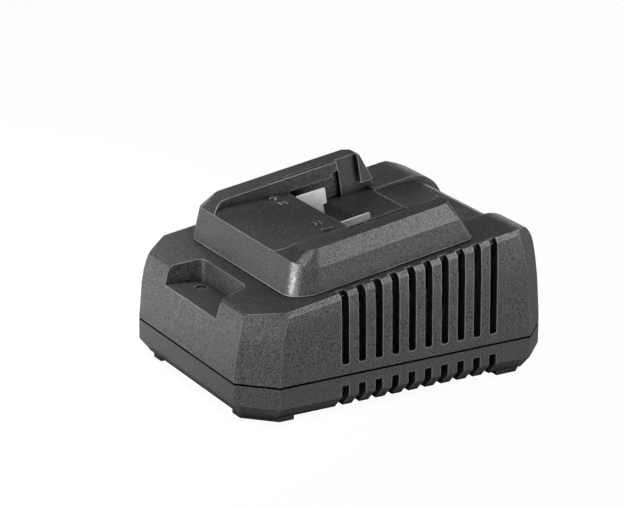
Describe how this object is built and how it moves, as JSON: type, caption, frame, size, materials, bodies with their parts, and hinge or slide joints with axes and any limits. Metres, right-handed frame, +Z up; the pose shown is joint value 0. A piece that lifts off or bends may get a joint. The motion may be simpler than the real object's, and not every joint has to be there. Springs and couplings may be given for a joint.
{
  "type": "power tool battery charger",
  "caption": "Desktop mains charger for slide-in tool batteries: wedge-shaped vented two-shell housing with a raised railed dock, blade terminals and status lights.",
  "frame": {"origin": "on the table, under the middle of the housing's overall box", "axes": "+Z up; the status light pocket is on the -Y end and the battery slides in from +Y, so +X is the side seen in the picture; the deck and dock rise by 8.65 degrees towards +Y"},
  "size_m": [0.116, 0.15, 0.0798],
  "materials": {
    "housing": "fine spark-textured charcoal plastic",
    "dock": "satin black plastic",
    "contact_metal": "nickel-plated sheet",
    "black_plastic": "matt black insulating plastic",
    "board": "green solder mask",
    "screw_steel": "zinc-plated",
    "ferrite": "dark ferrite",
    "bobbin": "pale moulded plastic",
    "winding_tape": "yellow tape",
    "copper": "enamelled copper",
    "can_sleeve": "dark blue sleeve",
    "film_case": "moulded case",
    "fuse_body": "ceramic tube",
    "heatsink": "extruded",
    "led_body": "moulded body",
    "clear_plastic": "clear moulded plastic",
    "lead_jacket": "soft insulation"
  },
  "bodies": {
    "root": {"base_shell": "housing", "top_shell": "housing", "battery_dock": "dock", "blade_positive": "contact_metal", "blade_negative": "contact_metal", "terminal_block": "black_plastic", "circuit_board": "board", "mains_inlet": "black_plastic", "inlet_pins": "contact_metal", "housing_screws": "screw_steel", "board_screws": "screw_steel", "dock_screws": "screw_steel", "transformer_core": "ferrite", "transformer_bobbin": "bobbin", "transformer_winding": "winding_tape", "bulk_capacitor": "can_sleeve", "output_capacitors": "can_sleeve", "film_capacitor": "film_case", "choke_core": "ferrite", "choke_windings": "copper", "fuse": "fuse_body", "bridge_rectifier": "black_plastic", "primary_heatsink": "heatsink", "output_heatsink": "heatsink", "power_transistor": "black_plastic", "output_rectifier": "black_plastic", "control_chip": "black_plastic", "optocoupler": "black_plastic", "status_leds": "led_body", "light_pipes": "clear_plastic", "output_leads": "lead_jacket"}
  },
  "joints": []
}
